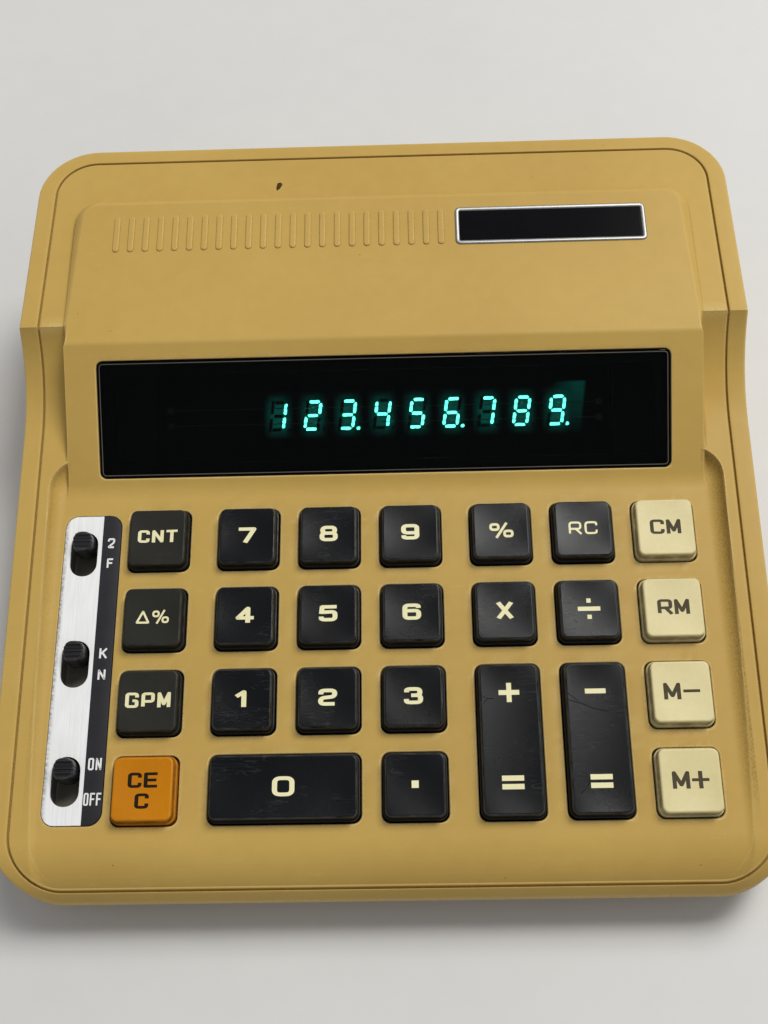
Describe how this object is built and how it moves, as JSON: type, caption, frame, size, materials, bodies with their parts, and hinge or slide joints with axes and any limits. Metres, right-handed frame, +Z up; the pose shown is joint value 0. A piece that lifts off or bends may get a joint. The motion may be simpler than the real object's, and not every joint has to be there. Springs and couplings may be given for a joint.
{
  "type": "fluorescent display desk calculator",
  "caption": "Wedge-shaped desk calculator with a glowing tube display behind a tinted window, sprung keys in a sunken deck, and slide switches on a metal panel.",
  "frame": {"origin": "on the table, under the middle of the case", "axes": "+X to the user's right, +Y to the rear of the calculator, +Z up"},
  "size_m": [0.175, 0.1844, 0.0503],
  "materials": {
    "case_plastic": "satin moulded plastic, mustard yellow",
    "tinted_window": "polished smoke-tinted acrylic",
    "bright_trim": "polished edge",
    "black_gloss": "gloss black",
    "aluminium_panel": "brushed, with a charcoal printed band",
    "inner_black": "plain moulded",
    "inner_ivory": "plain moulded",
    "steel": "plated",
    "contact_metal": "plated",
    "circuit_board": "phenolic board",
    "clear_glass": "clear tube glass",
    "tube_dark": "dark ceramic",
    "phosphor_lit": "glowing blue-green phosphor",
    "phosphor_dark": "unlit phosphor",
    "cable_grey": "flat cable",
    "capacitor_sleeve": "shrink sleeve",
    "core_iron": "varnished laminations",
    "coil_wrap": "tape wrap",
    "black_rubber": "matt",
    "knob_black": "ribbed, satin",
    "key_black": "satin black",
    "key_olive_black": "matt olive black",
    "key_orange": "satin orange",
    "key_cream": "satin cream"
  },
  "bodies": {
    "case": {"bottom_case": "case_plastic", "top_case": "case_plastic", "display_window": "tinted_window", "badge_plate": "bright_trim", "badge_inlay": "black_gloss", "switch_panel": "aluminium_panel", "switch_housings": "inner_black", "key_guide_plate": "inner_ivory", "key_springs": "steel", "key_contacts": "contact_metal", "keyboard_board": "circuit_board", "calculator_chip": "inner_black", "driver_chips": "inner_black", "display_hood": "inner_black", "tube_glass": "clear_glass", "tube_base": "tube_dark", "tube_lit_segments": "phosphor_lit", "tube_dark_segments": "phosphor_dark", "tube_filaments": "steel", "tube_pins": "steel", "display_board": "circuit_board", "ribbon_cable": "cable_grey", "power_board": "circuit_board", "capacitors": "capacitor_sleeve", "rectifier_diodes": "inner_black", "fuse": "steel", "transformer_core": "core_iron", "transformer_coil": "coil_wrap", "cord_gland": "black_rubber", "case_screws": "steel", "board_screws": "steel", "rubber_feet": "black_rubber"},
    "switch_knob_rear": {"switch_knob_rear": "knob_black"},
    "switch_knob_middle": {"switch_knob_middle": "knob_black"},
    "switch_knob_front": {"switch_knob_front": "knob_black"},
    "key_cnt": {"key_cnt": "key_olive_black"},
    "key_7": {"key_7": "key_black"},
    "key_8": {"key_8": "key_black"},
    "key_9": {"key_9": "key_black"},
    "key_percent": {"key_percent": "key_black"},
    "key_rc": {"key_rc": "key_black"},
    "key_cm": {"key_cm": "key_cream"},
    "key_delta_percent": {"key_delta_percent": "key_olive_black"},
    "key_4": {"key_4": "key_black"},
    "key_5": {"key_5": "key_black"},
    "key_6": {"key_6": "key_black"},
    "key_times": {"key_times": "key_black"},
    "key_divide": {"key_divide": "key_black"},
    "key_rm": {"key_rm": "key_cream"},
    "key_gpm": {"key_gpm": "key_olive_black"},
    "key_1": {"key_1": "key_black"},
    "key_2": {"key_2": "key_black"},
    "key_3": {"key_3": "key_black"},
    "key_plus_equals": {"key_plus_equals": "key_black"},
    "key_minus_equals": {"key_minus_equals": "key_black"},
    "key_m_minus": {"key_m_minus": "key_cream"},
    "key_ce_c": {"key_ce_c": "key_orange"},
    "key_0": {"key_0": "key_black"},
    "key_point": {"key_point": "key_black"},
    "key_m_plus": {"key_m_plus": "key_cream"}
  },
  "joints": [
    {"name": "key_cnt_press", "type": "slide", "parent": "case", "child": "key_cnt", "axis": [0, 0.0872, -0.9962], "range_m": [0, 0.0026], "stiffness_N_per_m": 150, "springref_m": -0.002, "deforming": ["key_springs"]},
    {"name": "key_7_press", "type": "slide", "parent": "case", "child": "key_7", "axis": [0, 0.0872, -0.9962], "range_m": [0, 0.0026], "stiffness_N_per_m": 150, "springref_m": -0.002, "deforming": ["key_springs"]},
    {"name": "key_8_press", "type": "slide", "parent": "case", "child": "key_8", "axis": [0, 0.0872, -0.9962], "range_m": [0, 0.0026], "stiffness_N_per_m": 150, "springref_m": -0.002, "deforming": ["key_springs"]},
    {"name": "key_9_press", "type": "slide", "parent": "case", "child": "key_9", "axis": [0, 0.0872, -0.9962], "range_m": [0, 0.0026], "stiffness_N_per_m": 150, "springref_m": -0.002, "deforming": ["key_springs"]},
    {"name": "key_percent_press", "type": "slide", "parent": "case", "child": "key_percent", "axis": [0, 0.0872, -0.9962], "range_m": [0, 0.0026], "stiffness_N_per_m": 150, "springref_m": -0.002, "deforming": ["key_springs"]},
    {"name": "key_rc_press", "type": "slide", "parent": "case", "child": "key_rc", "axis": [0, 0.0872, -0.9962], "range_m": [0, 0.0026], "stiffness_N_per_m": 150, "springref_m": -0.002, "deforming": ["key_springs"]},
    {"name": "key_cm_press", "type": "slide", "parent": "case", "child": "key_cm", "axis": [0, 0.0872, -0.9962], "range_m": [0, 0.0026], "stiffness_N_per_m": 150, "springref_m": -0.002, "deforming": ["key_springs"]},
    {"name": "key_delta_percent_press", "type": "slide", "parent": "case", "child": "key_delta_percent", "axis": [0, 0.0872, -0.9962], "range_m": [0, 0.0026], "stiffness_N_per_m": 150, "springref_m": -0.002, "deforming": ["key_springs"]},
    {"name": "key_4_press", "type": "slide", "parent": "case", "child": "key_4", "axis": [0, 0.0872, -0.9962], "range_m": [0, 0.0026], "stiffness_N_per_m": 150, "springref_m": -0.002, "deforming": ["key_springs"]},
    {"name": "key_5_press", "type": "slide", "parent": "case", "child": "key_5", "axis": [0, 0.0872, -0.9962], "range_m": [0, 0.0026], "stiffness_N_per_m": 150, "springref_m": -0.002, "deforming": ["key_springs"]},
    {"name": "key_6_press", "type": "slide", "parent": "case", "child": "key_6", "axis": [0, 0.0872, -0.9962], "range_m": [0, 0.0026], "stiffness_N_per_m": 150, "springref_m": -0.002, "deforming": ["key_springs"]},
    {"name": "key_times_press", "type": "slide", "parent": "case", "child": "key_times", "axis": [0, 0.0872, -0.9962], "range_m": [0, 0.0026], "stiffness_N_per_m": 150, "springref_m": -0.002, "deforming": ["key_springs"]},
    {"name": "key_divide_press", "type": "slide", "parent": "case", "child": "key_divide", "axis": [0, 0.0872, -0.9962], "range_m": [0, 0.0026], "stiffness_N_per_m": 150, "springref_m": -0.002, "deforming": ["key_springs"]},
    {"name": "key_rm_press", "type": "slide", "parent": "case", "child": "key_rm", "axis": [0, 0.0872, -0.9962], "range_m": [0, 0.0026], "stiffness_N_per_m": 150, "springref_m": -0.002, "deforming": ["key_springs"]},
    {"name": "key_gpm_press", "type": "slide", "parent": "case", "child": "key_gpm", "axis": [0, 0.0872, -0.9962], "range_m": [0, 0.0026], "stiffness_N_per_m": 150, "springref_m": -0.002, "deforming": ["key_springs"]},
    {"name": "key_1_press", "type": "slide", "parent": "case", "child": "key_1", "axis": [0, 0.0872, -0.9962], "range_m": [0, 0.0026], "stiffness_N_per_m": 150, "springref_m": -0.002, "deforming": ["key_springs"]},
    {"name": "key_2_press", "type": "slide", "parent": "case", "child": "key_2", "axis": [0, 0.0872, -0.9962], "range_m": [0, 0.0026], "stiffness_N_per_m": 150, "springref_m": -0.002, "deforming": ["key_springs"]},
    {"name": "key_3_press", "type": "slide", "parent": "case", "child": "key_3", "axis": [0, 0.0872, -0.9962], "range_m": [0, 0.0026], "stiffness_N_per_m": 150, "springref_m": -0.002, "deforming": ["key_springs"]},
    {"name": "key_plus_equals_press", "type": "slide", "parent": "case", "child": "key_plus_equals", "axis": [0, 0.0872, -0.9962], "range_m": [0, 0.0026], "stiffness_N_per_m": 150, "springref_m": -0.002, "deforming": ["key_springs"]},
    {"name": "key_minus_equals_press", "type": "slide", "parent": "case", "child": "key_minus_equals", "axis": [0, 0.0872, -0.9962], "range_m": [0, 0.0026], "stiffness_N_per_m": 150, "springref_m": -0.002, "deforming": ["key_springs"]},
    {"name": "key_m_minus_press", "type": "slide", "parent": "case", "child": "key_m_minus", "axis": [0, 0.0872, -0.9962], "range_m": [0, 0.0026], "stiffness_N_per_m": 150, "springref_m": -0.002, "deforming": ["key_springs"]},
    {"name": "key_ce_c_press", "type": "slide", "parent": "case", "child": "key_ce_c", "axis": [0, 0.0872, -0.9962], "range_m": [0, 0.0026], "stiffness_N_per_m": 150, "springref_m": -0.002, "deforming": ["key_springs"]},
    {"name": "key_0_press", "type": "slide", "parent": "case", "child": "key_0", "axis": [0, 0.0872, -0.9962], "range_m": [0, 0.0026], "stiffness_N_per_m": 150, "springref_m": -0.002, "deforming": ["key_springs"]},
    {"name": "key_point_press", "type": "slide", "parent": "case", "child": "key_point", "axis": [0, 0.0872, -0.9962], "range_m": [0, 0.0026], "stiffness_N_per_m": 150, "springref_m": -0.002, "deforming": ["key_springs"]},
    {"name": "key_m_plus_press", "type": "slide", "parent": "case", "child": "key_m_plus", "axis": [0, 0.0872, -0.9962], "range_m": [0, 0.0026], "stiffness_N_per_m": 150, "springref_m": -0.002, "deforming": ["key_springs"]},
    {"name": "switch_knob_rear_slide", "type": "slide", "parent": "case", "child": "switch_knob_rear", "axis": [0, -0.9962, -0.0872], "range_m": [0, 0.0048]},
    {"name": "switch_knob_middle_slide", "type": "slide", "parent": "case", "child": "switch_knob_middle", "axis": [0, -0.9962, -0.0872], "range_m": [0, 0.0048]},
    {"name": "switch_knob_front_slide", "type": "slide", "parent": "case", "child": "switch_knob_front", "axis": [0, -0.9962, -0.0872], "range_m": [0, 0.0048]}
  ]
}
